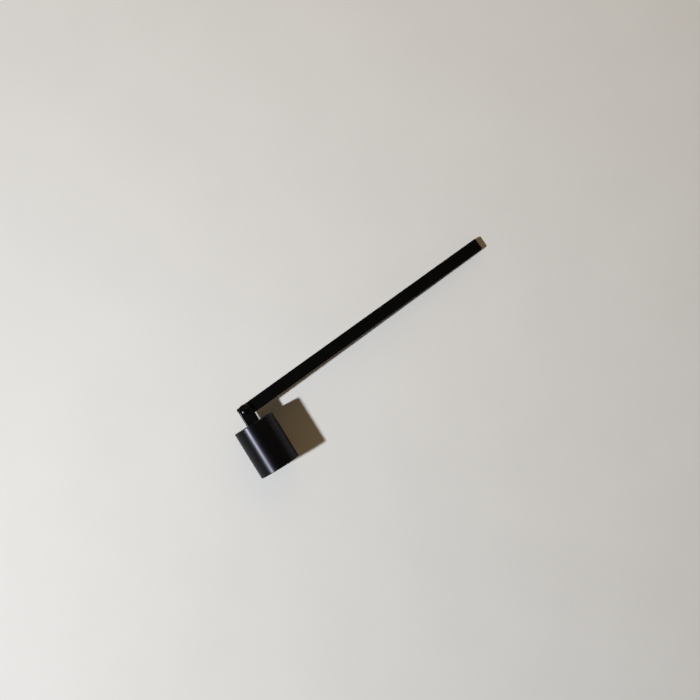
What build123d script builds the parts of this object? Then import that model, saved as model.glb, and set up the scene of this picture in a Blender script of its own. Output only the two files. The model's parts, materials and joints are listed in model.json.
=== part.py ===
from build123d import *

import math
import os

# Candle snuffer: a turned bell that swings in a forked hinge at the end of a flat bar handle.
# All lengths are millimetres and all angles are degrees.
#
# Each piece is drawn in the hinge's own frame. The origin is the pivot's centre, Z runs up the hinge
# post, Y runs along the bell's axis away from its mouth, and X runs along a handle that stands square
# to the bell. At the end the snuffer is laid on the floor, on the bell's side and the handle's tip.

# Handle: a flat bar with a pivot hole near one end
handle_length = 184.0
handle_width = 8.0
handle_thickness = 4.0
handle_overhang = 4.3
handle_corner_radius = 1.0
handle_edge_radius = 0.4

# Bell: a straight turned cup, closed by its crown and open at its mouth
bell_diameter = 27.0
bell_length = 32.0
bell_wall = 1.4
bell_crown = 2.0
bell_crown_edge_radius = 0.5
bell_inside_radius = 2.6
bell_rim_radius = 0.3

# Hinge fork: a slotted block that stands on the crown and holds the bar's end between two round ears
fork_width = 8.6
fork_upper_ear = 1.6
fork_lower_ear = 2.8
fork_base = 3.0
fork_upper_edge_radius = 0.9
fork_lower_edge_radius = 0.3
fork_swing_room = 0.5

# Hinge post and hinge screw: a barrel with a low domed head, closed from below by a screw with the same dome
post_diameter = 3.6
post_blind_end = 2.6
post_seat_gap = 0.1
hinge_head_diameter = 4.8
hinge_head_rim = 0.25
hinge_head_rise = 1.0
hinge_screw_diameter = 2.0
hinge_screw_end_gap = 0.4
hinge_screw_slot_width = 0.7
hinge_screw_slot_depth = 0.6

# Slide washers: one on each side of the bar, inside the fork
slide_washer_diameter = 6.8
slide_washer_thickness = 0.3
slide_washer_play = 0.1

# Fork screw and its toothed washer: they hold the fork on the crown, from inside the bell
fork_screw_diameter = 3.0
fork_screw_head_diameter = 5.7
fork_screw_head_rim = 0.35
fork_screw_head_rise = 1.3
fork_screw_socket_width = 2.0
fork_screw_socket_depth = 1.0
fork_screw_end_gap = 0.4
lock_washer_diameter = 6.4
lock_washer_thickness = 0.4
lock_washer_teeth = 10
lock_washer_tooth_length = 0.7
lock_washer_notch_share = 0.45

# Fits, as clearance on the radius
running_clearance = 0.06
close_clearance = 0.03
through_clearance = 0.15

# Resting pose: how far the handle leans from square to the bell, away from its mouth
rest_lean = 4.0

# Sizes that follow from the ones above
bell_radius = bell_diameter / 2
bore_radius = bell_radius - bell_wall
handle_reach = handle_length - handle_overhang
handle_ease = min(handle_edge_radius, 0.8 * handle_corner_radius, 0.4 * handle_thickness)
end_corner_radius = handle_corner_radius + math.hypot(
    handle_overhang - handle_corner_radius,
    handle_width / 2 - handle_corner_radius,
)
slot_depth = end_corner_radius + fork_swing_room
slot_height = handle_thickness + 2 * (slide_washer_thickness + slide_washer_play)
fork_top = slot_height / 2 + fork_upper_ear
fork_bottom = -slot_height / 2 - fork_lower_ear
fork_thickness = fork_top - fork_bottom
fork_upper_ease = min(fork_upper_edge_radius, 0.6 * fork_upper_ear)
fork_lower_ease = min(fork_lower_edge_radius, 0.6 * fork_lower_ear)
ear_radius = fork_width / 2
pivot_height = fork_base + slot_depth
crown_y = -pivot_height
mouth_y = crown_y - bell_length
screw_seat_y = crown_y - bell_crown
post_bore_depth = fork_thickness - post_blind_end
past_all = 2 * (fork_thickness + fork_width)


def corner_of(face, x, y):
    """The vertex of a flat face that lies nearest to a point."""
    return face.vertices().sort_by_distance(Vector(x, y, 0))[0]


def post_axis_cylinder(radius, low, high):
    """A cylinder round the hinge's axis, from one height to another."""
    standing = (Align.CENTER, Align.CENTER, Align.MIN)
    return Pos(0, 0, low) * Cylinder(radius, high - low, align=standing)


def domed_head(diameter, rim, rise):
    """A low dome on a short straight rim, standing on Z = 0."""
    radius = diameter / 2
    sphere_radius = (radius**2 + rise**2) / (2 * rise)
    sphere_centre = rim + rise - sphere_radius
    return post_axis_cylinder(radius, 0, rim + rise) & Pos(0, 0, sphere_centre) * Sphere(sphere_radius)


def make_handle_bar():
    plan = RectangleRounded(handle_length, handle_width, handle_corner_radius)
    centre_x = handle_length / 2 - handle_overhang
    bar = Pos(centre_x, 0, 0) * extrude(plan, handle_thickness / 2, both=True)
    flat_edges = bar.edges().group_by(Axis.Z)
    bar = fillet(flat_edges[0] + flat_edges[-1], handle_ease)
    bar -= post_axis_cylinder(post_diameter / 2 + running_clearance, -handle_thickness, handle_thickness)
    return Rot(0, 0, rest_lean) * bar


def make_bell_cup():
    hole_radius = fork_screw_diameter / 2 + through_clearance
    outline = Polyline(
        (hole_radius, crown_y),
        (bell_radius, crown_y),
        (bell_radius, mouth_y),
        (bore_radius, mouth_y),
        (bore_radius, screw_seat_y),
        (hole_radius, screw_seat_y),
        close=True,
    )
    rim_ease = min(bell_rim_radius, 0.45 * bell_wall)
    section = make_face(outline)
    section = fillet(corner_of(section, bell_radius, crown_y), bell_crown_edge_radius)
    section = fillet(corner_of(section, bell_radius, mouth_y), rim_ease)
    section = fillet(corner_of(section, bore_radius, mouth_y), rim_ease)
    section = fillet(corner_of(section, bore_radius, screw_seat_y), bell_inside_radius)
    return revolve(section, Axis.Y)


def make_hinge_fork():
    plan = Pos(0, crown_y / 2) * Rectangle(fork_width, pivot_height) + Circle(ear_radius)
    block = Pos(0, 0, fork_bottom) * extrude(plan, fork_thickness)
    for side, ease in ((0, fork_lower_ease), (-1, fork_upper_ease)):
        ear_edges = block.edges().group_by(Axis.Z)[side].sort_by(Axis.Y)[1:]
        block = fillet(ear_edges, ease)
    slot_length = slot_depth + fork_width
    block -= Pos(0, slot_length / 2 - slot_depth) * Box(past_all, slot_length, slot_height)
    block -= post_axis_cylinder(post_diameter / 2 + close_clearance, -past_all, past_all)
    tapped_hole = Rot(-90, 0, 0) * post_axis_cylinder(
        fork_screw_diameter / 2 + close_clearance, 0, fork_base + fork_swing_room
    )
    return block - Pos(0, crown_y, 0) * tapped_hole


def make_hinge_post():
    post = post_axis_cylinder(post_diameter / 2, fork_bottom + post_seat_gap, fork_top)
    post += Pos(0, 0, fork_top) * domed_head(hinge_head_diameter, hinge_head_rim, hinge_head_rise)
    thread_radius = hinge_screw_diameter / 2 + close_clearance
    return post - post_axis_cylinder(thread_radius, fork_bottom, fork_bottom + post_bore_depth)


def make_hinge_screw():
    head = domed_head(hinge_head_diameter, hinge_head_rim, hinge_head_rise)
    slot_floor = hinge_head_rim + hinge_head_rise - hinge_screw_slot_depth
    slot = Box(past_all, hinge_screw_slot_width, past_all, align=(Align.CENTER, Align.CENTER, Align.MIN))
    head -= Pos(0, 0, slot_floor) * slot
    shank = post_axis_cylinder(hinge_screw_diameter / 2, hinge_screw_end_gap - post_bore_depth, 0)
    return Pos(0, 0, fork_bottom) * Rot(180, 0, 0) * (head + shank)


def make_slide_washer():
    """A thin ring that lies on Z = 0."""
    ring = post_axis_cylinder(slide_washer_diameter / 2, 0, slide_washer_thickness)
    return ring - post_axis_cylinder(post_diameter / 2 + close_clearance, -past_all, past_all)


def make_fork_screw():
    head = domed_head(fork_screw_head_diameter, fork_screw_head_rim, fork_screw_head_rise)
    socket_floor = fork_screw_head_rim + fork_screw_head_rise - fork_screw_socket_depth
    hexagon = RegularPolygon(fork_screw_socket_width / 2, 6, major_radius=False)
    head -= Pos(0, 0, socket_floor) * extrude(hexagon, past_all)
    shank_length = lock_washer_thickness + bell_crown + fork_base - fork_screw_end_gap
    shank = post_axis_cylinder(fork_screw_diameter / 2, -shank_length, 0)
    return Pos(0, screw_seat_y - lock_washer_thickness, 0) * Rot(90, 0, 0) * (head + shank)


def make_fork_lock_washer():
    outside = lock_washer_diameter / 2
    inside = fork_screw_diameter / 2 + through_clearance
    ring = Circle(outside) - Circle(inside)
    notch_width = lock_washer_notch_share * math.pi * lock_washer_diameter / lock_washer_teeth
    notch = Rectangle(2 * lock_washer_tooth_length, notch_width)
    ring -= PolarLocations(outside, lock_washer_teeth) * notch
    return Pos(0, screw_seat_y, 0) * Rot(90, 0, 0) * extrude(ring, lock_washer_thickness)


def roll_on_floor():
    """The turn about the bell's axis that brings the rounded lower edge of the handle's tip to the floor."""
    lean = math.radians(rest_lean)
    along = (handle_reach - handle_ease) * math.cos(lean)
    across = (handle_width / 2 - handle_corner_radius) * math.sin(lean)
    below = handle_thickness / 2 - handle_ease
    drop = bell_radius - handle_ease
    level = math.hypot(along + across, below)
    return math.degrees(math.asin(drop / level) - math.atan2(below, along + across))


inner_ear_face = slot_height / 2
slide_washer = make_slide_washer()
pieces = {
    "handle_bar": make_handle_bar(),
    "bell_cup": make_bell_cup(),
    "hinge_fork": make_hinge_fork(),
    "hinge_post": make_hinge_post(),
    "hinge_screw": make_hinge_screw(),
    "upper_washer": Pos(0, 0, inner_ear_face - slide_washer_thickness) * slide_washer,
    "lower_washer": Pos(0, 0, -inner_ear_face) * slide_washer,
    "fork_screw": make_fork_screw(),
    "fork_lock_washer": make_fork_lock_washer(),
}

# Lay the snuffer down: roll it about the bell's axis, then put the middle of its footprint on the origin.
roll = Rot(0, roll_on_floor(), 0)
footprint = Compound([roll * piece for piece in pieces.values()]).bounding_box()
middle = footprint.center()
lay_down = Pos(-middle.X, -middle.Y, -footprint.min.Z) * roll

os.makedirs("parts", exist_ok=True)
for name, piece in pieces.items():
    export_step(lay_down * piece, f"parts/{name}.step")

pivot = (lay_down * Pos(0, 0, 0)).position
mouth = (lay_down * Pos(0, mouth_y, 0)).position
print("roll", round(roll_on_floor(), 4), "size", footprint.size)
print("pivot", pivot, "mouth", mouth)
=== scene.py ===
import json
import math

import bmesh
import bpy
from mathutils import Matrix, Vector


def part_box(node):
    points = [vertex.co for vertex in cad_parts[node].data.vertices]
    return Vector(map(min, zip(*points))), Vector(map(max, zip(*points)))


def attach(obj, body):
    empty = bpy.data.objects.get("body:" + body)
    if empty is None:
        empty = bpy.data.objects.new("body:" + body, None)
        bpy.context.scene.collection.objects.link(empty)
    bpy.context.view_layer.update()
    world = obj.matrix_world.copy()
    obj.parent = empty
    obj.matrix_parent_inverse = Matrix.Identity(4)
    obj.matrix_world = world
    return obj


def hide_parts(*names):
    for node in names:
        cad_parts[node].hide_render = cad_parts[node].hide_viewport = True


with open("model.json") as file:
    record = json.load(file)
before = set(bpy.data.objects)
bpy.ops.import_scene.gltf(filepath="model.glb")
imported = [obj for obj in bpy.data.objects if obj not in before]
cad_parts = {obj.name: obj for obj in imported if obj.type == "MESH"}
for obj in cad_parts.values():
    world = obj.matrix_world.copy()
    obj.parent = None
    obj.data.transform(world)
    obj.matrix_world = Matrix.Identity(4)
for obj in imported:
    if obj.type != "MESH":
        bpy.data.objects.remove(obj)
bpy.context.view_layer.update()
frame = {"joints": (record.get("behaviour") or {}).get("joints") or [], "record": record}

bl_info = {
    "name": "Candle snuffer",
    "version": (1, 0, 0),
    "blender": (4, 5, 0),
    "location": "3D View > Sidebar > Snuffer",
    "description": "Builds a black candle snuffer: a turned bell in a forked hinge on a flat bar handle",
    "category": "Object",
}

# Lengths are metres. Each piece is drawn in the hinge's own frame: the origin is the pivot's centre,
# Z runs up the hinge post, Y runs along the bell's axis away from its mouth, and X runs along a handle
# that stands square to the bell.
MM = 0.001

# Steps along round shapes
STEPS_ROUND = 128
BELL_STEPS_ROUND = 2 * STEPS_ROUND
STEPS_PER_EDGE = 6
STEPS_PER_SMALL_EDGE = 3
STEPS_PER_TINY_EDGE = 2
DOME_STEPS = 16

# Small edges of the fasteners, the washers and the bar's pivot hole
FASTENER_EDGE = 0.08 * MM
WASHER_EDGE = 0.05 * MM
BAR_HOLE_EDGE = 0.1 * MM

# Edges that turn by more than these are shaded sharp, and are broken after a cut
SHARP_ANGLE = math.radians(32)
BROKEN_ANGLE = math.radians(50)

# A rounding whose radius is under 1 mm counts as a rounded edge
TIGHT_BEND = 1 / MM

# Points as near as this are one point, and heights as near as this are one height
WELD_GAP = 0.001 * MM
HEIGHT_GAP = 0.01 * MM

# Driver of a domed fastener, a shank with no bore, and a ring with no teeth
PLAIN_DOME, SLOTTED_DOME, SOCKET_DOME = range(3)
SOLID_SHANK = {"Bore": 0.0, "Bore Depth": 0.0}
NO_TEETH = {"Tooth Length": 0.0, "Tooth Width": 0.0, "Tooth Twist": 0.0, "Teeth": 0}

# Slot cutter's length against the head it crosses
SLOT_CUTTER = 1.2

# Teeth: their share of the washer's rim, their sheet against the ring's, and their blank against what shows
TOOTH_SHARE = 0.55
TOOTH_SHEET = 0.55
TOOTH_BLANK = 1.5

# Most values of a noise texture lie in this range
NOISE_RANGE = {"From Min": 0.3, "From Max": 0.7}

# Radius of the pale board, and how far in front of the lens the view starts
FLOOR_REACH = 0.85
VIEW_START = 10 * MM

# Low room light on the lamp's side and opposite the lamp, against its full strength across the handle
LAMP_SIDE_SHARE = 0.55
FAR_SIDE_SHARE = 0.1

# Heights, from 0 at eye level to 1 overhead, between which the low room light and the wall fade out
SKY_FADE = (0, 0.7)
WALL_FADE = (0.04, 0.16)


def joint_frame(joint):
    """The matrix that carries the hinge's own frame to its place."""
    up = Vector(joint["axis"]).normalized()
    along_bell = Vector((0, 1, 0))
    across = along_bell.cross(up)
    turn = Matrix((across, along_bell, up)).transposed().to_4x4()
    return Matrix.Translation(joint["pos_m"]) @ turn


hinge = joint_frame(frame["joints"][0])
pivot = hinge.translation
bell_low, bell_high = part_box("bell_cup")
fork_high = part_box("hinge_fork")[1]
bore = next(mount for mount in frame["record"]["mounts"] if mount["name"] == "bell_bore")
crown_y = bell_high.y - pivot.y


def linear(hex_colour):
    """An sRGB hex colour as linear red, green, blue and alpha."""
    shares = [int(hex_colour[at : at + 2], 16) / 255 for at in (1, 3, 5)]
    light = [s / 12.92 if s <= 0.04045 else ((s + 0.055) / 1.055) ** 2.4 for s in shares]
    return (*light, 1.0)


# Sizes and colours that a user may change


class HandleSizes(bpy.types.PropertyGroup):
    length: bpy.props.FloatProperty(
        name="Length", description="Bar from end to end", default=184 * MM, unit="LENGTH"
    )
    width: bpy.props.FloatProperty(
        name="Width", description="Bar across its flat", default=8 * MM, unit="LENGTH"
    )
    thickness: bpy.props.FloatProperty(
        name="Thickness", description="Bar through its flat", default=4 * MM, unit="LENGTH"
    )
    overhang: bpy.props.FloatProperty(
        name="Overhang", description="Bar past the pivot", default=4.3 * MM, unit="LENGTH"
    )
    corner: bpy.props.FloatProperty(
        name="Corner", description="Radius of the bar's four corners", default=1 * MM, unit="LENGTH"
    )
    edge: bpy.props.FloatProperty(
        name="Edge", description="Radius of the bar's long edges", default=0.4 * MM, unit="LENGTH"
    )
    hole: bpy.props.FloatProperty(
        name="Pivot hole", description="Hole that turns on the post", default=3.72 * MM, unit="LENGTH"
    )
    lean: bpy.props.FloatProperty(
        name="Lean",
        description="Turn of the bar from square to the bell, away from the mouth",
        default=math.radians(4),
        unit="ROTATION",
    )


class BellSizes(bpy.types.PropertyGroup):
    diameter: bpy.props.FloatProperty(
        name="Diameter", description="Bell across", default=bell_high.z - bell_low.z, unit="LENGTH"
    )
    length: bpy.props.FloatProperty(
        name="Length", description="Crown to mouth", default=bell_high.y - bell_low.y, unit="LENGTH"
    )
    bore: bpy.props.FloatProperty(
        name="Bore", description="Bell across inside", default=2 * bore["dims"]["r_mm"] * MM, unit="LENGTH"
    )
    crown: bpy.props.FloatProperty(
        name="Crown", description="Thickness of the closed end", default=2 * MM, unit="LENGTH"
    )
    crown_edge: bpy.props.FloatProperty(
        name="Crown edge", description="Radius of the crown's edge", default=0.5 * MM, unit="LENGTH"
    )
    inside_corner: bpy.props.FloatProperty(
        name="Inside corner", description="Radius inside the crown", default=2.6 * MM, unit="LENGTH"
    )
    rim_edge: bpy.props.FloatProperty(
        name="Rim edge", description="Radius of the rim's two edges", default=0.3 * MM, unit="LENGTH"
    )
    screw_hole: bpy.props.FloatProperty(
        name="Screw hole", description="Hole for the fork screw", default=3.3 * MM, unit="LENGTH"
    )


class ForkSizes(bpy.types.PropertyGroup):
    width: bpy.props.FloatProperty(
        name="Width", description="Fork across its ears", default=2 * (fork_high.y - pivot.y), unit="LENGTH"
    )
    upper_ear: bpy.props.FloatProperty(
        name="Upper ear", description="Ear under the post's head", default=1.6 * MM, unit="LENGTH"
    )
    lower_ear: bpy.props.FloatProperty(
        name="Lower ear", description="Ear over the screw's head", default=2.8 * MM, unit="LENGTH"
    )
    slot_height: bpy.props.FloatProperty(
        name="Slot height", description="Room between the ears", default=4.8 * MM, unit="LENGTH"
    )
    base: bpy.props.FloatProperty(
        name="Base", description="Solid foot under the slot", default=3 * MM, unit="LENGTH"
    )
    upper_edge: bpy.props.FloatProperty(
        name="Upper edge", description="Radius of the upper ear's edge", default=0.9 * MM, unit="LENGTH"
    )
    lower_edge: bpy.props.FloatProperty(
        name="Lower edge", description="Radius of the lower ear's edge", default=0.3 * MM, unit="LENGTH"
    )
    burr_edge: bpy.props.FloatProperty(
        name="Broken edge", description="Filed edge of slot and holes", default=0.1 * MM, unit="LENGTH"
    )
    pin_hole: bpy.props.FloatProperty(
        name="Pin hole", description="Hole for the post", default=3.66 * MM, unit="LENGTH"
    )
    foot_hole: bpy.props.FloatProperty(
        name="Foot hole", description="Hole for the fork screw", default=3.06 * MM, unit="LENGTH"
    )
    foot_hole_depth: bpy.props.FloatProperty(
        name="Foot hole depth", description="Depth of that hole", default=3.5 * MM, unit="LENGTH"
    )


class PivotSizes(bpy.types.PropertyGroup):
    head: bpy.props.FloatProperty(
        name="Head", description="Domes of post and screw across", default=4.8 * MM, unit="LENGTH"
    )
    rim: bpy.props.FloatProperty(
        name="Rim", description="Straight rim under each dome", default=0.25 * MM, unit="LENGTH"
    )
    rise: bpy.props.FloatProperty(
        name="Rise", description="Height of each dome", default=0.65 * MM, unit="LENGTH"
    )
    post: bpy.props.FloatProperty(
        name="Post", description="Post across", default=3.6 * MM, unit="LENGTH"
    )
    post_length: bpy.props.FloatProperty(
        name="Post length", description="Post under its head", default=9.1 * MM, unit="LENGTH"
    )
    post_bore: bpy.props.FloatProperty(
        name="Post bore", description="Thread bore in the post", default=2.06 * MM, unit="LENGTH"
    )
    post_bore_depth: bpy.props.FloatProperty(
        name="Bore depth", description="Depth of that bore", default=6.6 * MM, unit="LENGTH"
    )
    screw: bpy.props.FloatProperty(
        name="Screw", description="Hinge screw across", default=2 * MM, unit="LENGTH"
    )
    screw_length: bpy.props.FloatProperty(
        name="Screw length", description="Screw under its head", default=6.2 * MM, unit="LENGTH"
    )
    slot_width: bpy.props.FloatProperty(
        name="Slot width", description="Screwdriver slot across", default=0.7 * MM, unit="LENGTH"
    )
    slot_depth: bpy.props.FloatProperty(
        name="Slot depth", description="Screwdriver slot's depth", default=0.6 * MM, unit="LENGTH"
    )
    washer: bpy.props.FloatProperty(
        name="Washer", description="Slide washers across", default=6.8 * MM, unit="LENGTH"
    )
    washer_thickness: bpy.props.FloatProperty(
        name="Washer thickness", description="Each slide washer", default=0.3 * MM, unit="LENGTH"
    )


class ForkScrewSizes(bpy.types.PropertyGroup):
    head: bpy.props.FloatProperty(
        name="Head", description="Button head across", default=5.7 * MM, unit="LENGTH"
    )
    rim: bpy.props.FloatProperty(
        name="Rim", description="Straight rim under the button", default=0.35 * MM, unit="LENGTH"
    )
    rise: bpy.props.FloatProperty(
        name="Rise", description="Height of the button", default=1.3 * MM, unit="LENGTH"
    )
    shank: bpy.props.FloatProperty(
        name="Shank", description="Screw across", default=3 * MM, unit="LENGTH"
    )
    length: bpy.props.FloatProperty(
        name="Length", description="Screw under its head", default=5 * MM, unit="LENGTH"
    )
    socket: bpy.props.FloatProperty(
        name="Socket", description="Hexagon socket across its flats", default=2 * MM, unit="LENGTH"
    )
    socket_depth: bpy.props.FloatProperty(
        name="Socket depth", description="Hexagon socket's depth", default=1 * MM, unit="LENGTH"
    )
    washer: bpy.props.FloatProperty(
        name="Washer", description="Toothed washer across its teeth", default=6.4 * MM, unit="LENGTH"
    )
    washer_thickness: bpy.props.FloatProperty(
        name="Washer thickness", description="Toothed washer's sheet", default=0.4 * MM, unit="LENGTH"
    )
    teeth: bpy.props.IntProperty(
        name="Teeth", description="Teeth round the washer", default=10, min=3
    )
    tooth_length: bpy.props.FloatProperty(
        name="Tooth length", description="How far a tooth stands out", default=0.7 * MM, unit="LENGTH"
    )
    tooth_twist: bpy.props.FloatProperty(
        name="Tooth twist", description="Turn of each tooth", default=math.radians(7), unit="ROTATION"
    )


class FinishColours(bpy.types.PropertyGroup):
    coat: bpy.props.FloatVectorProperty(
        name="Coat", description="Satin black coat", size=4, default=linear("#040403"), subtype="COLOR"
    )
    coat_thin: bpy.props.FloatVectorProperty(
        name="Thin coat",
        description="Coat where it is thinner",
        size=4,
        default=linear("#070706"),
        subtype="COLOR",
    )
    coat_sheen: bpy.props.FloatVectorProperty(
        name="Coat sheen",
        description="Tint of the coat's gloss",
        size=4,
        default=linear("#F0F2FF"),
        subtype="COLOR",
    )
    plate: bpy.props.FloatVectorProperty(
        name="Plate", description="Satin black plating", size=4, default=linear("#252528"), subtype="COLOR"
    )
    plate_thin: bpy.props.FloatVectorProperty(
        name="Thin plate",
        description="Plating where it is thinner",
        size=4,
        default=linear("#27272A"),
        subtype="COLOR",
    )
    plate_edge: bpy.props.FloatVectorProperty(
        name="Plate edge",
        description="Tint of the plating's gloss where it turns away",
        size=4,
        default=linear("#DADADA"),
        subtype="COLOR",
    )
    oxide: bpy.props.FloatVectorProperty(
        name="Oxide", description="Black oxide on steel", size=4, default=linear("#2A2B2F"), subtype="COLOR"
    )
    nylon: bpy.props.FloatVectorProperty(
        name="Nylon", description="Black nylon", size=4, default=linear("#161617"), subtype="COLOR"
    )
    board: bpy.props.FloatVectorProperty(
        name="Board", description="Pale floor board", size=4, default=linear("#D8D5CF"), subtype="COLOR"
    )


class StageSettings(bpy.types.PropertyGroup):
    camera_place: bpy.props.FloatVectorProperty(
        name="Camera",
        description="Where the camera hangs",
        size=3,
        default=(-0.00796, 0.01039, 0.695),
        unit="LENGTH",
    )
    camera_turn: bpy.props.FloatProperty(
        name="Camera turn",
        description="Turn about the plumb line",
        default=math.radians(-31.705),
        unit="ROTATION",
    )
    lens: bpy.props.FloatProperty(
        name="Lens", description="Focal length on a 36 mm frame", default=56.51, min=1, unit="CAMERA"
    )
    lamp_place: bpy.props.FloatVectorProperty(
        name="Lamp", description="Where the lamp hangs", size=3, default=(-1.395, 0.08, 1.385), unit="LENGTH"
    )
    lamp_target: bpy.props.FloatVectorProperty(
        name="Lamp target",
        description="Where the lamp points",
        size=3,
        default=(-0.085, 0.066, 0),
        unit="LENGTH",
    )
    lamp_diameter: bpy.props.FloatProperty(
        name="Lamp size", description="Lamp across", default=115 * MM, unit="LENGTH"
    )
    lamp_power: bpy.props.FloatProperty(
        name="Lamp power", description="Lamp's power", default=15.4, unit="POWER"
    )
    lamp_spread: bpy.props.FloatProperty(
        name="Lamp spread",
        description="Full angle of the lamp's beam",
        default=math.radians(110),
        unit="ROTATION",
    )
    lamp_colour: bpy.props.FloatVectorProperty(
        name="Lamp colour", description="Lamp's light", size=3, default=(0.929, 0.983, 1.06), subtype="COLOR"
    )
    panel_place: bpy.props.FloatVectorProperty(
        name="Panel",
        description="Where the warm panel stands",
        size=3,
        default=(0.685, 0.816, 0.745),
        unit="LENGTH",
    )
    panel_diameter: bpy.props.FloatProperty(
        name="Panel size", description="Warm panel across", default=1300 * MM, unit="LENGTH"
    )
    panel_power: bpy.props.FloatProperty(
        name="Panel power", description="Warm panel's power", default=3.05, unit="POWER"
    )
    panel_colour: bpy.props.FloatVectorProperty(
        name="Panel colour",
        description="Warm panel's light",
        size=3,
        default=(1, 0.63, 0.235),
        subtype="COLOR",
    )
    sky_low: bpy.props.FloatVectorProperty(
        name="Low sky",
        description="Room light at eye level",
        size=4,
        default=(0.5, 0.43, 0.34, 1),
        subtype="COLOR",
    )
    backdrop: bpy.props.FloatVectorProperty(
        name="Backdrop",
        description="Wall behind the board's edge",
        size=4,
        default=(0.64, 0.61, 0.57, 1),
        subtype="COLOR",
    )
    sky_high: bpy.props.FloatVectorProperty(
        name="High sky",
        description="Room light overhead",
        size=4,
        default=(0.03, 0.024, 0.017, 1),
        subtype="COLOR",
    )


# Small helpers for trees and pieces


def feed(tree, socket, value):
    """Give an input socket a value, or a link from another socket or from a node's first output."""
    if isinstance(value, bpy.types.Node):
        value = value.outputs[0]
    if isinstance(value, bpy.types.NodeSocket):
        tree.links.new(value, socket)
    else:
        socket.default_value = value


def add_node(tree, kind, inputs=None, **settings):
    """Add a node, apply its settings, and feed each named or numbered input."""
    node = tree.nodes.new(kind)
    for name, value in settings.items():
        setattr(node, name, value)
    for key, value in (inputs or {}).items():
        feed(tree, node.inputs[key], value)
    return node


def new_tree(name, sockets):
    """A node tree for shapes, with its named inputs, and the outputs of its Group Input node."""
    tree = bpy.data.node_groups.new(name, "GeometryNodeTree")
    for label, kind in sockets.items():
        tree.interface.new_socket(label, in_out="INPUT", socket_type="NodeSocket" + kind)
    tree.interface.new_socket("Mesh", in_out="OUTPUT", socket_type="NodeSocketGeometry")
    return tree, add_node(tree, "NodeGroupInput").outputs


def end_tree(tree, shape, material):
    """Close a tree: real geometry, in its material."""
    real = add_node(tree, "GeometryNodeRealizeInstances", {"Geometry": shape})
    dressed = add_node(tree, "GeometryNodeSetMaterial", {"Geometry": real, "Material": material})
    add_node(tree, "NodeGroupOutput", {"Mesh": dressed})


def add_section(tree, corners, eases, steps, dome=None):
    """A section from its corners as (radius, height), counter-clockwise, each rounded by its own ease.
    It closes on itself, or runs on over a dome, given as an arc and the number of its points to follow."""
    index = add_node(tree, "GeometryNodeInputIndex")
    place = add_node(tree, "GeometryNodeIndexSwitch", {"Index": index}, data_type="VECTOR")
    ease = add_node(tree, "GeometryNodeIndexSwitch", {"Index": index}, data_type="FLOAT")
    for at, (radius, height) in enumerate(corners):
        if at > 1:
            place.index_switch_items.new()
            ease.index_switch_items.new()
        corner = add_node(tree, "ShaderNodeCombineXYZ", {"X": radius, "Y": height})
        feed(tree, place.inputs[str(at)], corner)
        feed(tree, ease.inputs[str(at)], eases[at])
    count = len(corners)
    if dome:
        arc, arc_points = dome
        past = add_node(tree, "FunctionNodeIntegerMath", {0: index, 1: count}, operation="SUBTRACT")
        position = add_node(tree, "GeometryNodeInputPosition")
        wanted = {"Geometry": arc, "Value": position, "Index": past}
        on_arc = add_node(tree, "GeometryNodeSampleIndex", wanted, data_type="FLOAT_VECTOR")
        is_arc = add_node(tree, "ShaderNodeMath", {0: index, 1: count - 0.5}, operation="GREATER_THAN")
        choice = {"Switch": is_arc, "False": place, "True": on_arc}
        place = add_node(tree, "GeometryNodeSwitch", choice, input_type="VECTOR")
        count += arc_points
    points = add_node(tree, "GeometryNodePoints", {"Count": count, "Position": place})
    outline = add_node(tree, "GeometryNodePointsToCurves", {"Points": points})
    closed = add_node(tree, "GeometryNodeSetSplineCyclic", {"Geometry": outline, "Cyclic": dome is None})
    rounding = {"Curve": closed, "Count": steps, "Radius": ease, "Limit Radius": True}
    return add_node(tree, "GeometryNodeFilletCurve", rounding, mode="POLY")


def plain_mesh(holder):
    """The finished mesh of an object with its modifiers. The object itself is removed."""
    depsgraph = bpy.context.evaluated_depsgraph_get()
    mesh = bpy.data.meshes.new_from_object(
        holder.evaluated_get(depsgraph), preserve_all_data_layers=True, depsgraph=depsgraph
    )
    if not mesh.polygons:
        raise RuntimeError(f"{holder.name} came out empty")
    bpy.data.objects.remove(holder)
    return mesh


def new_object(name, data):
    """A new object at the origin, in the scene."""
    made = bpy.data.objects.new(name, data)
    bpy.context.scene.collection.objects.link(made)
    return made


def grow_mesh(tree, sizes):
    """Run a tree with the given sizes and keep its result as a plain mesh."""
    holder = new_object(tree.name, bpy.data.meshes.new(tree.name))
    modifier = holder.modifiers.new(tree.name, "NODES")
    modifier.node_group = tree
    for item in tree.interface.items_tree:
        if item.in_out == "INPUT":
            modifier[item.identifier] = sizes[item.name]
    return plain_mesh(holder)


def paint(mesh, material):
    """Give a mesh one material, in place of any it has."""
    mesh.materials.clear()
    mesh.materials.append(material)


def mark_edges(mesh):
    """Mark the faces of tight roundings, where a coat lies thinner, in a face attribute."""
    shape = bmesh.new()
    shape.from_mesh(mesh)
    marks = []
    for face in shape.faces:
        width = face.calc_area() / max(edge.calc_length() for edge in face.edges)
        bend = max((edge.calc_face_angle(0.0) for edge in face.edges if edge.smooth), default=0.0)
        marks.append(1.0 if bend > width * TIGHT_BEND else 0.0)
    shape.free()
    mesh.attributes.new("rounded_edge", "FLOAT", "FACE").data.foreach_set("value", marks)


def seat_piece(name, mesh, place, node, body):
    """Put a mesh in its place on the snuffer, shade it, and let it stand for its solid."""
    mesh.transform(hinge @ place)
    mesh.polygons.foreach_set("use_smooth", [True] * len(mesh.polygons))
    mesh.set_sharp_from_angle(angle=SHARP_ANGLE)
    mark_edges(mesh)
    holder = new_object(name, mesh)
    holder.modifiers.new("Even shading", "WEIGHTED_NORMAL").keep_sharp = True
    finished = plain_mesh(holder)
    finished.name = name
    piece = new_object(name, finished)
    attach(piece, body)
    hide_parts(node)


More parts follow.
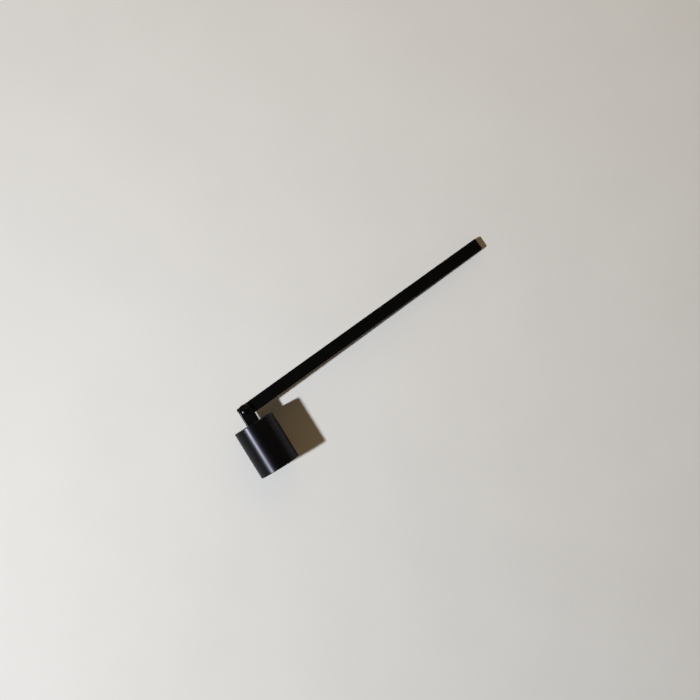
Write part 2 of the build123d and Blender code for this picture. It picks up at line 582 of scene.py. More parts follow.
def circle_outline(diameter):
    """Points round a circle, counter-clockwise."""
    turns = [2 * math.pi * at / STEPS_ROUND for at in range(STEPS_ROUND)]
    return [(math.cos(turn) * diameter / 2, math.sin(turn) * diameter / 2) for turn in turns]


def box_outline(left, right, near, far):
    """The corners of an upright box, counter-clockwise."""
    return [(left, near), (right, near), (right, far), (left, far)]


def bar_outline(left, right, half_width, radius):
    """A bar's outline with its four corners rounded, counter-clockwise."""
    outline = []
    centres = box_outline(left + radius, right - radius, radius - half_width, half_width - radius)
    for quarter, (x, y) in zip((2, 3, 0, 1), centres):
        for at in range(STEPS_PER_EDGE + 1):
            turn = math.pi / 2 * (quarter + at / STEPS_PER_EDGE)
            outline.append((x + radius * math.cos(turn), y + radius * math.sin(turn)))
    return outline


def ear_outline(half_width, foot):
    """The fork's outline: a straight foot and sides, and a half round end about the pivot."""
    turns = [math.pi * at / (STEPS_ROUND // 2) for at in range(STEPS_ROUND // 2 + 1)]
    end = [(half_width * math.cos(turn), half_width * math.sin(turn)) for turn in turns]
    return [(-half_width, foot), (half_width, foot), *end]


def fork_heights(sizes):
    """The heights of the fork's underside and top over the pivot's centre."""
    return -sizes.slot_height / 2 - sizes.lower_ear, sizes.slot_height / 2 + sizes.upper_ear


def prism(outline, low, high):
    """An upright prism on a counter-clockwise outline, as a bmesh."""
    shape = bmesh.new()
    floor = [shape.verts.new((x, y, low)) for x, y in outline]
    roof = [shape.verts.new((x, y, high)) for x, y in outline]
    shape.faces.new(reversed(floor))
    shape.faces.new(roof)
    for at, after in zip(range(len(outline)), [*range(1, len(outline)), 0]):
        shape.faces.new((floor[at], floor[after], roof[after], roof[at]))
    shape.normal_update()
    return shape


def level_edges(shape, height):
    """The edges of a bmesh that lie level at one height."""
    return [edge for edge in shape.edges if all(abs(vert.co.z - height) < HEIGHT_GAP for vert in edge.verts)]


def ease_edges(shape, edges, radius):
    """Round the given edges of a bmesh."""
    bmesh.ops.bevel(
        shape,
        geom=edges,
        offset=radius,
        segments=STEPS_PER_EDGE,
        profile=0.5,
        affect="EDGES",
        clamp_overlap=False,
    )


def to_mesh(shape, name):
    """A bmesh as a mesh. The bmesh is freed."""
    mesh = bpy.data.meshes.new(name)
    shape.to_mesh(mesh)
    shape.free()
    return mesh


def cut_away(mesh, cutters, broken_edge):
    """Cut each cutter out of a mesh, then break the sharp edges that are left."""
    body = new_object(mesh.name, mesh)
    tools = [new_object(cutter.name, cutter) for cutter in cutters]
    for tool in tools:
        cut = body.modifiers.new(tool.name, "BOOLEAN")
        cut.object = tool
        cut.operation = "DIFFERENCE"
        cut.solver = "MANIFOLD"
    bevel = body.modifiers.new("Broken edges", "BEVEL")
    bevel.width = broken_edge
    bevel.segments = STEPS_PER_TINY_EDGE
    bevel.limit_method = "ANGLE"
    bevel.angle_limit = BROKEN_ANGLE
    result = plain_mesh(body)
    for tool in tools:
        bpy.data.objects.remove(tool)
    return result


# Trees for the turned pieces


def lathe_tree():
    """Turns a section round the Y axis. Closed is 1 for a ring's section, and 0 for a section that starts
    and ends on the axis."""
    tree, given = new_tree("Lathe", {"Section": "Geometry", "Closed": "Int", "Steps Round": "Int"})
    section = given["Section"]
    count = add_node(tree, "GeometryNodeAttributeDomainSize", {"Geometry": section}, component="CURVE")
    columns = add_node(tree, "FunctionNodeIntegerMath", {0: count, 1: given["Closed"]}, operation="ADD")
    rows = add_node(tree, "FunctionNodeIntegerMath", {0: given["Steps Round"], 1: 1}, operation="ADD")
    grid = add_node(tree, "GeometryNodeMeshGrid", {"Vertices X": columns, "Vertices Y": rows})
    index = add_node(tree, "GeometryNodeInputIndex")
    column = add_node(tree, "FunctionNodeIntegerMath", {0: index, 1: rows}, operation="DIVIDE_FLOOR")
    corner = add_node(tree, "FunctionNodeIntegerMath", {0: column, 1: count}, operation="MODULO")
    row = add_node(tree, "FunctionNodeIntegerMath", {0: index, 1: rows}, operation="MODULO")
    share = add_node(tree, "ShaderNodeMath", {0: row, 1: given["Steps Round"]}, operation="DIVIDE")
    turn = add_node(tree, "ShaderNodeMath", {0: share, 1: 2 * math.pi}, operation="MULTIPLY")
    position = add_node(tree, "GeometryNodeInputPosition")
    wanted = {"Geometry": section, "Value": position, "Index": corner}
    sample = add_node(tree, "GeometryNodeSampleIndex", wanted, data_type="FLOAT_VECTOR")
    spun = add_node(tree, "ShaderNodeVectorRotate", {"Vector": sample, "Angle": turn}, rotation_type="Y_AXIS")
    placed = add_node(tree, "GeometryNodeSetPosition", {"Geometry": grid, "Position": spun})
    welded = add_node(tree, "GeometryNodeMergeByDistance", {"Geometry": placed, "Distance": WELD_GAP})
    outward = add_node(tree, "GeometryNodeFlipFaces", {"Mesh": welded})
    add_node(tree, "NodeGroupOutput", {"Mesh": outward})
    return tree


def bell_tree(lathe):
    """The bell: one closed section, turned. Its crown lies on Y = 0 and its mouth points down Y."""
    lengths = ("Diameter", "Length", "Bore", "Crown", "Crown Edge", "Inside Corner", "Rim Edge", "Screw Hole")
    others = {"Steps Round": "Int", "Steps per Edge": "Int", "Material": "Material"}
    tree, given = new_tree("Turned bell", dict.fromkeys(lengths, "Float") | others)
    outside = add_node(tree, "ShaderNodeMath", {0: given["Diameter"], 1: 2}, operation="DIVIDE")
    inside = add_node(tree, "ShaderNodeMath", {0: given["Bore"], 1: 2}, operation="DIVIDE")
    hole = add_node(tree, "ShaderNodeMath", {0: given["Screw Hole"], 1: 2}, operation="DIVIDE")
    mouth = add_node(tree, "ShaderNodeMath", {0: given["Length"], 1: -1}, operation="MULTIPLY")
    seat = add_node(tree, "ShaderNodeMath", {0: given["Crown"], 1: -1}, operation="MULTIPLY")
    corners = [(hole, 0), (hole, seat), (inside, seat), (inside, mouth), (outside, mouth), (outside, 0)]
    eases = [0, 0, given["Inside Corner"], given["Rim Edge"], given["Rim Edge"], given["Crown Edge"]]
    section = add_section(tree, corners, eases, given["Steps per Edge"])
    turning = {"Section": section, "Closed": 1, "Steps Round": given["Steps Round"]}
    turned = add_node(tree, "GeometryNodeGroup", turning, node_tree=lathe)
    end_tree(tree, turned, given["Material"])
    return tree


def fastener_tree(lathe):
    """A domed fastener that stands on Y = 0 with its head up. Driver picks a plain dome, a slotted one or a
    hexagon socket. A bore of no width leaves the shank solid."""
    lengths = ("Head", "Rim", "Rise", "Shank", "Length", "Bore", "Bore Depth", "Driver Width", "Driver Depth")
    others = {"Driver": "Int", "Steps Round": "Int", "Steps per Edge": "Int", "Material": "Material"}
    tree, given = new_tree("Domed fastener", dict.fromkeys((*lengths, "Edge"), "Float") | others)
    head = add_node(tree, "ShaderNodeMath", {0: given["Head"], 1: 2}, operation="DIVIDE")
    minus_head = add_node(tree, "ShaderNodeMath", {0: given["Head"], 1: -2}, operation="DIVIDE")
    top = add_node(tree, "ShaderNodeMath", {0: given["Rim"], 1: given["Rise"]}, operation="ADD")
    shank = add_node(tree, "ShaderNodeMath", {0: given["Shank"], 1: 2}, operation="DIVIDE")
    tip = add_node(tree, "ShaderNodeMath", {0: given["Length"], 1: -1}, operation="MULTIPLY")
    bore_radius = add_node(tree, "ShaderNodeMath", {0: given["Bore"], 1: 2}, operation="DIVIDE")
    bore_end = add_node(tree, "ShaderNodeMath", {0: tip, 1: given["Bore Depth"]}, operation="ADD")
    bored = [(0, bore_end), (bore_radius, bore_end), (bore_radius, tip)]
    corners = [*bored, (shank, tip), (shank, 0), (head, 0)]
    eases = [0, 0, 0, given["Edge"], 0, given["Edge"]]
    right = add_node(tree, "ShaderNodeCombineXYZ", {"X": head, "Y": given["Rim"]})
    crest = add_node(tree, "ShaderNodeCombineXYZ", {"Y": top})
    left = add_node(tree, "ShaderNodeCombineXYZ", {"X": minus_head, "Y": given["Rim"]})
    span = {"Resolution": 2 * DOME_STEPS + 1, "Start": right, "Middle": crest, "End": left}
    arc = add_node(tree, "GeometryNodeCurveArc", span, mode="POINTS")
    section = add_section(tree, corners, eases, given["Steps per Edge"], (arc, DOME_STEPS + 1))
    turning = {"Section": section, "Closed": 0, "Steps Round": given["Steps Round"]}
    plain = add_node(tree, "GeometryNodeGroup", turning, node_tree=lathe)
    twice_deep = add_node(tree, "ShaderNodeMath", {0: given["Driver Depth"], 1: 2}, operation="MULTIPLY")
    across = add_node(tree, "ShaderNodeMath", {0: given["Head"], 1: SLOT_CUTTER}, operation="MULTIPLY")
    blade = {"X": across, "Y": twice_deep, "Z": given["Driver Width"]}
    blade_size = add_node(tree, "ShaderNodeCombineXYZ", blade)
    slot = add_node(tree, "GeometryNodeMeshCube", {"Size": blade_size})
    half_key = add_node(tree, "ShaderNodeMath", {0: given["Driver Width"], 1: 3**0.5}, operation="DIVIDE")
    key = add_node(tree, "GeometryNodeMeshCylinder", {"Vertices": 6, "Radius": half_key, "Depth": twice_deep})
    upright = {"Geometry": key, "Rotation": (math.pi / 2, 0, 0)}
    socket = add_node(tree, "GeometryNodeTransform", upright)
    recessed = []
    for tool in (slot, socket):
        raised = add_node(tree, "GeometryNodeTransform", {"Geometry": tool, "Translation": crest})
        cutting = {"Mesh 1": plain, "Mesh 2": raised}
        cut = add_node(tree, "GeometryNodeMeshBoolean", cutting, operation="DIFFERENCE", solver="MANIFOLD")
        recessed.append(cut)
    choice = add_node(tree, "GeometryNodeIndexSwitch", {"Index": given["Driver"]}, data_type="GEOMETRY")
    choice.index_switch_items.new()
    for at, shape in enumerate((plain, *recessed)):
        feed(tree, choice.inputs[str(at)], shape)
    end_tree(tree, choice, given["Material"])
    return tree


def ring_tree(lathe):
    """A flat ring with eased edges that lies on Y = 0, and any teeth round it, each a little twisted."""
    lengths = ("Outside", "Inside", "Thickness", "Edge", "Tooth Length", "Tooth Width", "Tooth Twist")
    others = {"Teeth": "Int", "Steps Round": "Int", "Steps per Edge": "Int", "Material": "Material"}
    tree, given = new_tree("Washer", dict.fromkeys(lengths, "Float") | others)
    reach = add_node(tree, "ShaderNodeMath", {0: given["Outside"], 1: 2}, operation="DIVIDE")
    outside = add_node(tree, "ShaderNodeMath", {0: reach, 1: given["Tooth Length"]}, operation="SUBTRACT")
    inside = add_node(tree, "ShaderNodeMath", {0: given["Inside"], 1: 2}, operation="DIVIDE")
    top = given["Thickness"]
    corners = [(inside, 0), (outside, 0), (outside, top), (inside, top)]
    section = add_section(tree, corners, [given["Edge"]] * 4, given["Steps per Edge"])
    turning = {"Section": section, "Closed": 1, "Steps Round": given["Steps Round"]}
    ring = add_node(tree, "GeometryNodeGroup", turning, node_tree=lathe)
    root = add_node(tree, "ShaderNodeMath", {0: given["Tooth Length"], 1: TOOTH_BLANK}, operation="MULTIPLY")
    sheet = add_node(tree, "ShaderNodeMath", {0: top, 1: TOOTH_SHEET}, operation="MULTIPLY")
    tooth_size = add_node(tree, "ShaderNodeCombineXYZ", {"X": root, "Y": sheet, "Z": given["Tooth Width"]})
    blank = add_node(tree, "GeometryNodeMeshCube", {"Size": tooth_size})
    half_root = add_node(tree, "ShaderNodeMath", {0: root, 1: -0.5}, operation="MULTIPLY")
    middle = add_node(tree, "ShaderNodeMath", {0: reach, 1: half_root}, operation="ADD")
    half_up = add_node(tree, "ShaderNodeMath", {0: top, 1: 2}, operation="DIVIDE")
    tooth_place = add_node(tree, "ShaderNodeCombineXYZ", {"X": middle, "Y": half_up})
    twist = add_node(tree, "ShaderNodeCombineXYZ", {"X": given["Tooth Twist"]})
    tooth = add_node(
        tree, "GeometryNodeTransform", {"Geometry": blank, "Translation": tooth_place, "Rotation": twist}
    )
    starts = add_node(tree, "GeometryNodePoints", {"Count": given["Teeth"]})
    index = add_node(tree, "GeometryNodeInputIndex")
    share = add_node(tree, "ShaderNodeMath", {0: index, 1: given["Teeth"]}, operation="DIVIDE")
    turn = add_node(tree, "ShaderNodeMath", {0: share, 1: 2 * math.pi}, operation="MULTIPLY")
    facing = add_node(tree, "ShaderNodeCombineXYZ", {"Y": turn})
    spread = {"Points": starts, "Instance": tooth, "Rotation": facing}
    teeth = add_node(tree, "GeometryNodeInstanceOnPoints", spread)
    cut_teeth = add_node(tree, "GeometryNodeRealizeInstances", {"Geometry": teeth})
    toothed = add_node(tree, "GeometryNodeMeshBoolean", operation="UNION", solver="MANIFOLD")
    feed(tree, toothed.inputs["Mesh 2"], ring)
    feed(tree, toothed.inputs["Mesh 2"], cut_teeth)
    has_teeth = add_node(tree, "ShaderNodeMath", {0: given["Teeth"], 1: 0.5}, operation="GREATER_THAN")
    choice = {"Switch": has_teeth, "False": ring, "True": toothed}
    end_tree(tree, add_node(tree, "GeometryNodeSwitch", choice, input_type="GEOMETRY"), given["Material"])
    return tree


made_trees = {}


def shared_tree(make, *given):
    """A tree that several operators use, made once."""
    if make.__name__ not in made_trees:
        made_trees[make.__name__] = make(*given)
    return made_trees[make.__name__]


# Materials


def new_material(name):
    """A new material, its node tree and the default shader in it."""
    material = bpy.data.materials.new(name)
    material.use_nodes = True
    return material, material.node_tree, material.node_tree.nodes["Principled BSDF"]


def black_coat(name, thick, thin, glossiest, dullest):
    """A black coat on steel and its shader, with the faint orange peel and the clouds of its bath or spray.
    It runs thinner and a little glossier over rounded edges. The peel is about 0.3 mm, drawn at 0.6 mm to
    show, and the clouds are about 9 mm."""
    material, tree, surface = new_material(name)
    place = add_node(tree, "ShaderNodeTexCoord").outputs["Object"]
    peel = add_node(tree, "ShaderNodeTexNoise", {"Vector": place, "Scale": 1 / (0.6 * MM), "Detail": 2})
    bump = add_node(tree, "ShaderNodeBump", {"Strength": 0.35, "Distance": 0.004 * MM, "Height": peel})
    cloud = add_node(tree, "ShaderNodeTexNoise", {"Vector": place, "Scale": 1 / (9 * MM), "Detail": 3})
    span = {"Value": cloud, **NOISE_RANGE, "To Min": glossiest, "To Max": dullest}
    dull = add_node(tree, "ShaderNodeMapRange", span)
    edge = add_node(tree, "ShaderNodeAttribute", attribute_name="rounded_edge").outputs["Fac"]
    worn = add_node(tree, "ShaderNodeMath", {0: edge, 1: -0.05, 2: dull}, operation="MULTIPLY_ADD")
    bare = add_node(tree, "ShaderNodeMath", {0: edge, 1: 0.5, 2: cloud}, operation="MULTIPLY_ADD")
    tone = add_node(tree, "ShaderNodeMix", {0: bare, 6: thick, 7: thin}, data_type="RGBA")
    feed(tree, surface.inputs["Base Color"], tone.outputs[2])
    feed(tree, surface.inputs["Roughness"], worn)
    feed(tree, surface.inputs["Normal"], bump)
    return material, surface


def black_enamel(name, colours, glossiest, dullest, gloss):
    """Black stove enamel on steel, with a blue-white gloss of the given strength."""
    material, surface = black_coat(name, colours.coat, colours.coat_thin, glossiest, dullest)
    surface.inputs["Specular IOR Level"].default_value = gloss
    surface.inputs["Specular Tint"].default_value = colours.coat_sheen
    return material


def satin_black_enamel(colours):
    """Satin black stove enamel, sprayed on steel: deep black, with a soft blue-white gloss where it mirrors a
    lamp and along rounded edges."""
    return black_enamel("Satin black enamel on steel", colours, 0.272, 0.315, 0.185)


def gloss_black_enamel(colours):
    """Gloss black enamel on the small turned domes of the hinge: as deep as the bar's, and smooth enough to
    mirror a lamp as one crisp dot."""
    return black_enamel("Gloss black enamel on turned steel", colours, 0.19, 0.21, 0.2)


def turned_black_plate(colours):
    """Satin black plating on the turned bell. It mirrors like a very dark metal, and its flanks stay dark
    where they turn away. The fine feed marks of the lathe lie under it, round the bell, and draw the streak
    of a lamp out along the bell's whole length."""
    name = "Satin black plating on turned steel"
    material, surface = black_coat(name, colours.plate, colours.plate_thin, 0.305, 0.35)
    around = add_node(material.node_tree, "ShaderNodeTangent", direction_type="RADIAL", axis="Y")
    feed(material.node_tree, surface.inputs["Tangent"], around)
    surface.inputs["Anisotropic"].default_value = 0.47
    surface.inputs["Anisotropic Rotation"].default_value = 0.25
    surface.inputs["Metallic"].default_value = 0.9
    surface.inputs["Specular IOR Level"].default_value = 0.1
    surface.inputs["Specular Tint"].default_value = colours.plate_edge
    return material


def black_oxide_steel(colours):
    """Black oxide on hardened steel: a dark blue-grey metal skin, half dull, with the fine mottling of the
    bath. The mottling is about 0.1 mm, drawn at 0.4 mm to show."""
    material, tree, surface = new_material("Black oxide on hardened steel")
    place = add_node(tree, "ShaderNodeTexCoord").outputs["Object"]
    mottle = add_node(tree, "ShaderNodeTexNoise", {"Vector": place, "Scale": 1 / (0.4 * MM), "Detail": 4})
    span = {"Value": mottle, **NOISE_RANGE, "To Min": 0.34, "To Max": 0.5}
    dull = add_node(tree, "ShaderNodeMapRange", span)
    bump = add_node(tree, "ShaderNodeBump", {"Strength": 0.3, "Distance": 0.004 * MM, "Height": mottle})
    feed(tree, surface.inputs["Roughness"], dull)
    feed(tree, surface.inputs["Normal"], bump)
    surface.inputs["Base Color"].default_value = colours.oxide
    surface.inputs["Metallic"].default_value = 1.0
    return material


def black_nylon(colours):
    """Black nylon, punched from sheet: a dull waxy black with a fine matt grain. The grain is about
    0.1 mm, drawn at 0.3 mm to show."""
    material, tree, surface = new_material("Black nylon sheet")
    place = add_node(tree, "ShaderNodeTexCoord").outputs["Object"]
    grain = add_node(tree, "ShaderNodeTexNoise", {"Vector": place, "Scale": 1 / (0.3 * MM), "Detail": 2})
    bump = add_node(tree, "ShaderNodeBump", {"Strength": 0.4, "Distance": 0.006 * MM, "Height": grain})
    dull = add_node(tree, "ShaderNodeMapRange", {"Value": grain, "To Min": 0.48, "To Max": 0.6})
    feed(tree, surface.inputs["Roughness"], dull)
    feed(tree, surface.inputs["Normal"], bump)
    surface.inputs["Base Color"].default_value = colours.nylon
    surface.inputs["IOR"].default_value = 1.53
    return material


def coated_board(colours):
    """Coated paper board: pale and even, with faint clouds, the tooth of the paper and a soft sheen towards a
    lamp. The clouds are about 60 mm. The tooth is about 0.2 mm, drawn at 0.8 mm to show."""
    material, tree, surface = new_material("Coated paper board")
    place = add_node(tree, "ShaderNodeTexCoord").outputs["Object"]
    cloud = add_node(tree, "ShaderNodeTexNoise", {"Vector": place, "Scale": 1 / (60 * MM), "Detail": 3})
    span = {"Value": cloud, **NOISE_RANGE, "To Min": 0.985, "To Max": 1.015}
    level = add_node(tree, "ShaderNodeMapRange", span)
    tone = add_node(tree, "ShaderNodeVectorMath", {0: colours.board[:3], "Scale": level}, operation="SCALE")
    tooth = add_node(tree, "ShaderNodeTexNoise", {"Vector": place, "Scale": 1 / (0.8 * MM), "Detail": 2})
    bump = add_node(tree, "ShaderNodeBump", {"Strength": 0.2, "Distance": 0.02 * MM, "Height": tooth})
    feed(tree, surface.inputs["Base Color"], tone)
    feed(tree, surface.inputs["Normal"], bump)
    surface.inputs["Roughness"].default_value = 0.6
    surface.inputs["Specular IOR Level"].default_value = 0.2
    return material


made_finishes = {}


def finish(make):
    """A finish that several pieces share, made once from the scene's colours."""
    if make.__name__ not in made_finishes:
        made_finishes[make.__name__] = make(bpy.context.scene.snuffer_colours)
    return made_finishes[make.__name__]


# Operators


class MakeHandle(bpy.types.Operator):
    """Make the flat bar handle with its pivot hole"""

    bl_idname = "snuffer.make_handle"
    bl_label = "Handle"

    def execute(self, context):
        sizes = context.scene.snuffer_handle
        outline = bar_outline(-sizes.overhang, sizes.length - sizes.overhang, sizes.width / 2, sizes.corner)
        shape = prism(outline, -sizes.thickness / 2, sizes.thickness / 2)
        flat = level_edges(shape, -sizes.thickness / 2) + level_edges(shape, sizes.thickness / 2)
        ease_edges(shape, flat, sizes.edge)
        hole = prism(circle_outline(sizes.hole), -sizes.thickness, sizes.thickness)
        mesh = cut_away(to_mesh(shape, "bar"), [to_mesh(hole, "pivot hole")], BAR_HOLE_EDGE)
        paint(mesh, finish(satin_black_enamel))
        lean = Matrix.Rotation(sizes.lean, 4, "Z")
        seat_piece("flat_bar_handle", mesh, lean, "handle_bar", "handle")
        return {"FINISHED"}


class MakeBell(bpy.types.Operator):
    """Make the turned bell"""

    bl_idname = "snuffer.make_bell"
    bl_label = "Bell"

    def execute(self, context):
        sizes = context.scene.snuffer_bell
        tree = shared_tree(bell_tree, shared_tree(lathe_tree))
        values = {
            "Diameter": sizes.diameter,
            "Length": sizes.length,
            "Bore": sizes.bore,
            "Crown": sizes.crown,
            "Crown Edge": sizes.crown_edge,
            "Inside Corner": sizes.inside_corner,
            "Rim Edge": sizes.rim_edge,
            "Screw Hole": sizes.screw_hole,
            "Steps Round": BELL_STEPS_ROUND,
            "Steps per Edge": STEPS_PER_EDGE,
            "Material": finish(turned_black_plate),
        }
        mesh = grow_mesh(tree, values)
        place = Matrix.Translation((0, crown_y, 0))
        seat_piece("turned_bell", mesh, place, "bell_cup", "bell")
        return {"FINISHED"}


class MakeFork(bpy.types.Operator):
    """Make the forked hinge block on the bell's crown"""

    bl_idname = "snuffer.make_fork"
    bl_label = "Hinge fork"

    def execute(self, context):
        sizes = context.scene.snuffer_fork
        bottom, top = fork_heights(sizes)
        shape = prism(ear_outline(sizes.width / 2, crown_y), bottom, top)
        for height, radius in ((bottom, sizes.lower_edge), (top, sizes.upper_edge)):
            level = level_edges(shape, height)
            ears = [edge for edge in level if max(vert.co.y for vert in edge.verts) > crown_y / 2]
            ease_edges(shape, ears, radius)
        slot_floor = crown_y + sizes.base
        slot_plan = box_outline(-sizes.width, sizes.width, slot_floor, sizes.width)
        slot = prism(slot_plan, -sizes.slot_height / 2, sizes.slot_height / 2)
        pin_hole = prism(circle_outline(sizes.pin_hole), 2 * bottom, 2 * top)
        foot_drill = prism(circle_outline(sizes.foot_hole), -sizes.base, sizes.foot_hole_depth)
        foot_hole = to_mesh(foot_drill, "foot hole")
        foot_hole.transform(Matrix.Translation((0, crown_y, 0)) @ Matrix.Rotation(-math.pi / 2, 4, "X"))
        cutters = [to_mesh(slot, "slot"), to_mesh(pin_hole, "pin hole"), foot_hole]
        mesh = cut_away(to_mesh(shape, "fork"), cutters, sizes.burr_edge)
        paint(mesh, finish(satin_black_enamel))
        seat_piece("forked_hinge_block", mesh, Matrix(), "hinge_fork", "bell")
        return {"FINISHED"}


class MakePivot(bpy.types.Operator):
    """Make the domed hinge post and the slotted screw that closes it from below"""

    bl_idname = "snuffer.make_pivot"
    bl_label = "Hinge post and screw"

    def execute(self, context):
        sizes = context.scene.snuffer_pivot
        bottom, top = fork_heights(context.scene.snuffer_fork)
        tree = shared_tree(fastener_tree, shared_tree(lathe_tree))
        alike = {
            "Head": sizes.head,
            "Rim": sizes.rim,
            "Rise": sizes.rise,
            "Edge": FASTENER_EDGE,
            "Driver Width": sizes.slot_width,
            "Driver Depth": sizes.slot_depth,
            "Steps Round": STEPS_ROUND,
            "Steps per Edge": STEPS_PER_SMALL_EDGE,
            "Material": finish(gloss_black_enamel),
        }
        post = {"Shank": sizes.post, "Length": sizes.post_length, "Driver": PLAIN_DOME}
        post |= {"Bore": sizes.post_bore, "Bore Depth": sizes.post_bore_depth}
        screw = {"Shank": sizes.screw, "Length": sizes.screw_length, "Driver": SLOTTED_DOME, **SOLID_SHANK}
        up = Matrix.Translation((0, 0, top)) @ Matrix.Rotation(math.pi / 2, 4, "X")
        down = Matrix.Translation((0, 0, bottom)) @ Matrix.Rotation(-math.pi / 2, 4, "X")
        post_mesh = grow_mesh(tree, alike | post)
        seat_piece("domed_hinge_post", post_mesh, up, "hinge_post", "bell")
        screw_mesh = grow_mesh(tree, alike | screw)
        seat_piece("slotted_hinge_screw", screw_mesh, down, "hinge_screw", "bell")
        return {"FINISHED"}


class MakeSlideWashers(bpy.types.Operator):
    """Make the two slide washers between the bar and the ears"""

    bl_idname = "snuffer.make_slide_washers"
    bl_label = "Slide washers"

    def execute(self, context):
        sizes = context.scene.snuffer_pivot
        fork = context.scene.snuffer_fork
        tree = shared_tree(ring_tree, shared_tree(lathe_tree))
        values = {
            "Outside": sizes.washer,
            "Inside": fork.pin_hole,
            "Thickness": sizes.washer_thickness,
            "Edge": WASHER_EDGE,
            **NO_TEETH,
            "Steps Round": STEPS_ROUND,
            "Steps per Edge": STEPS_PER_TINY_EDGE,
            "Material": finish(black_nylon),
        }
        upright = Matrix.Rotation(math.pi / 2, 4, "X")
        heights = {"upper": fork.slot_height / 2 - sizes.washer_thickness, "lower": -fork.slot_height / 2}
        for side, height in heights.items():
            mesh = grow_mesh(tree, values)
            place = Matrix.Translation((0, 0, height)) @ upright
            seat_piece(f"{side}_slide_washer", mesh, place, f"{side}_washer", "bell")
        return {"FINISHED"}


class MakeForkScrew(bpy.types.Operator):
    """Make the button head screw and the toothed washer that hold the fork from inside the bell"""

    bl_idname = "snuffer.make_fork_screw"
    bl_label = "Fork screw and toothed washer"

    def execute(self, context):
        sizes = context.scene.snuffer_fork_screw
        bell = context.scene.snuffer_bell
        lathe = shared_tree(lathe_tree)
        alike = {
            "Steps Round": STEPS_ROUND,
            "Steps per Edge": STEPS_PER_SMALL_EDGE,
            "Material": finish(black_oxide_steel),
        }
        screw = {
            "Head": sizes.head,
            "Rim": sizes.rim,
            "Rise": sizes.rise,
            "Shank": sizes.shank,
            "Length": sizes.length,
            **SOLID_SHANK,
            "Edge": FASTENER_EDGE,
            "Driver": SOCKET_DOME,
            "Driver Width": sizes.socket,
            "Driver Depth": sizes.socket_depth,
        }
        tooth_width = TOOTH_SHARE * math.pi * sizes.washer / sizes.teeth
        washer = {
            "Outside": math.sqrt(sizes.washer**2 - tooth_width**2),
            "Inside": bell.screw_hole,
            "Thickness": sizes.washer_thickness,
            "Edge": WASHER_EDGE,
            "Teeth": sizes.teeth,
            "Tooth Length": sizes.tooth_length,
            "Tooth Width": tooth_width,
            "Tooth Twist": sizes.tooth_twist,
        }
        to_mouth = Matrix.Rotation(math.pi, 4, "X")
        seat = crown_y - bell.crown
        washer_mesh = grow_mesh(shared_tree(ring_tree, lathe), alike | washer)
        place = Matrix.Translation((0, seat, 0)) @ to_mouth
        seat_piece("toothed_lock_washer", washer_mesh, place, "fork_lock_washer", "bell")
        screw_mesh = grow_mesh(shared_tree(fastener_tree, lathe), alike | screw)
        place = Matrix.Translation((0, seat - sizes.washer_thickness, 0)) @ to_mouth
        seat_piece("socket_fork_screw", screw_mesh, place, "fork_screw", "bell")
        return {"FINISHED"}


def hang_lamp(name, place, target, diameter):
    """The light of a round soft lamp that points at a target and stays out of the picture."""
    light = bpy.data.lights.new(name, "AREA")
    light.shape = "DISK"
    light.size = diameter
    lamp = new_object(name, light)
    lamp.location = place
    lamp.visible_camera = False
    lamp.rotation_euler = (Vector(target) - Vector(place)).to_track_quat("-Z", "Y").to_euler()
    return light


def room_light(stage):
    """The room's own light: low light from the sides, little from overhead, and a plain wall all round behind
    the board's edge."""
    world = bpy.data.worlds.new("Room light")
    world.use_nodes = True
    tree = world.node_tree
    direction = add_node(tree, "ShaderNodeTexCoord").outputs["Generated"]
    axes = add_node(tree, "ShaderNodeSeparateXYZ", {"Vector": direction}).outputs
    curve = (LAMP_SIDE_SHARE + FAR_SIDE_SHARE) / 2 - 1
    tilt = (FAR_SIDE_SHARE - LAMP_SIDE_SHARE) / 2
    slope = add_node(tree, "ShaderNodeMath", {0: axes["X"], 1: curve, 2: tilt}, operation="MULTIPLY_ADD")
    side = add_node(tree, "ShaderNodeMath", {0: slope, 1: axes["X"], 2: 1}, operation="MULTIPLY_ADD")
    fades = []
    for start, end in (SKY_FADE, WALL_FADE):
        span = {"Value": axes["Z"], "From Min": start, "From Max": end, "To Min": 1, "To Max": 0}
        fades.append(add_node(tree, "ShaderNodeMapRange", span, interpolation_type="SMOOTHSTEP"))
    low, wall = fades
    share = add_node(tree, "ShaderNodeMath", {0: side, 1: low}, operation="MULTIPLY")
    sky_tones = {0: share, 6: stage.sky_high, 7: stage.sky_low}
    sky = add_node(tree, "ShaderNodeMix", sky_tones, data_type="RGBA")
    room_tones = {0: wall, 6: sky.outputs[2], 7: stage.backdrop}
    room = add_node(tree, "ShaderNodeMix", room_tones, data_type="RGBA")
    feed(tree, tree.nodes["Background"].inputs["Color"], room.outputs[2])
    return world


def hang_camera(stage):
    """The camera, which looks straight down."""
    view = bpy.data.cameras.new("Camera")
    view.lens = stage.lens
    view.clip_start = VIEW_START
    camera = new_object("Camera", view)
    camera.location = stage.camera_place
    camera.rotation_euler = (0, 0, stage.camera_turn)
    return camera


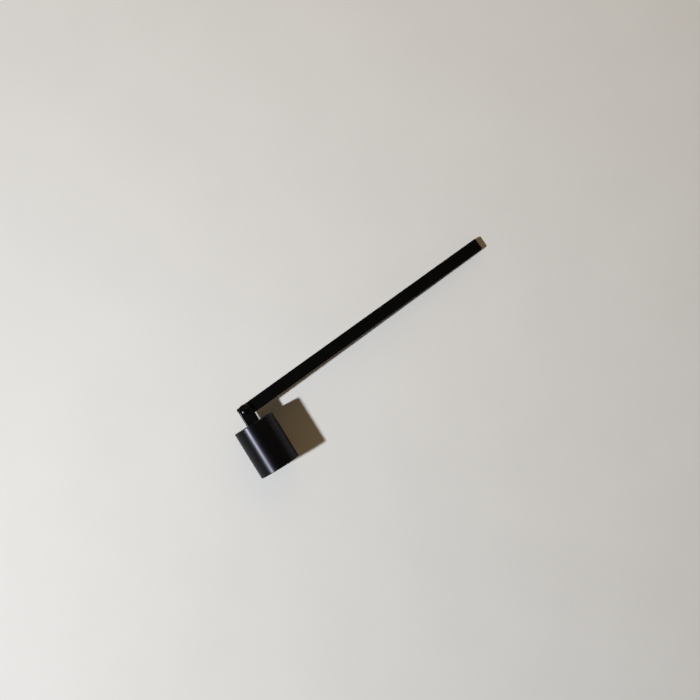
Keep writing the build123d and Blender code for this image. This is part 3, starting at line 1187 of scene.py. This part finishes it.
class SetStage(bpy.types.Operator):
    """Lay the pale floor, hang the lamp, the warm panel and the camera, and set the room's light"""

    bl_idname = "snuffer.set_stage"
    bl_label = "Stage"

    def execute(self, context):
        scene = context.scene
        stage = scene.snuffer_stage
        scene.view_settings.view_transform = "Standard"
        shape = bmesh.new()
        bmesh.ops.create_circle(shape, cap_ends=True, segments=STEPS_ROUND, radius=FLOOR_REACH)
        board = new_object("pale_board", to_mesh(shape, "pale_board"))
        paint(board.data, finish(coated_board))
        lamp = hang_lamp("Lamp", stage.lamp_place, stage.lamp_target, stage.lamp_diameter)
        lamp.energy = stage.lamp_power
        lamp.color = stage.lamp_colour
        lamp.spread = stage.lamp_spread
        panel = hang_lamp("Warm panel", stage.panel_place, (0, 0, 0), stage.panel_diameter)
        panel.energy = stage.panel_power
        panel.color = stage.panel_colour
        scene.world = room_light(stage)
        scene.camera = hang_camera(stage)
        return {"FINISHED"}


class SnufferPanel(bpy.types.Panel):
    """The snuffer's pieces and sizes"""

    bl_idname = "SNUFFER_PT_pieces"
    bl_label = "Candle snuffer"
    bl_space_type = "VIEW_3D"
    bl_region_type = "UI"
    bl_category = "Snuffer"

    def draw(self, context):
        for operator, names in PANEL_ROWS:
            column = self.layout.column(align=True)
            column.operator(operator.bl_idname)
            for name in names:
                group = getattr(context.scene, name)
                for size in group.bl_rna.properties.keys():
                    if size not in ("rna_type", "name"):
                        column.prop(group, size)


GROUPS = {
    "snuffer_handle": HandleSizes,
    "snuffer_bell": BellSizes,
    "snuffer_fork": ForkSizes,
    "snuffer_pivot": PivotSizes,
    "snuffer_fork_screw": ForkScrewSizes,
    "snuffer_colours": FinishColours,
    "snuffer_stage": StageSettings,
}
PANEL_ROWS = (
    (MakeHandle, ["snuffer_handle"]),
    (MakeBell, ["snuffer_bell"]),
    (MakeFork, ["snuffer_fork"]),
    (MakePivot, ["snuffer_pivot"]),
    (MakeSlideWashers, []),
    (MakeForkScrew, ["snuffer_fork_screw"]),
    (SetStage, ["snuffer_stage", "snuffer_colours"]),
)
CLASSES = (*GROUPS.values(), *(operator for operator, _ in PANEL_ROWS), SnufferPanel)


def register():
    for cls in CLASSES:
        bpy.utils.register_class(cls)
    for name, group in GROUPS.items():
        setattr(bpy.types.Scene, name, bpy.props.PointerProperty(type=group))


def unregister():
    for name in GROUPS:
        delattr(bpy.types.Scene, name)
    for cls in reversed(CLASSES):
        bpy.utils.unregister_class(cls)


def main():
    register()
    bpy.ops.snuffer.make_handle()
    bpy.ops.snuffer.make_bell()
    bpy.ops.snuffer.make_fork()
    bpy.ops.snuffer.make_pivot()
    bpy.ops.snuffer.make_slide_washers()
    bpy.ops.snuffer.make_fork_screw()
    bpy.ops.snuffer.set_stage()


if __name__ == "__main__":
    main()
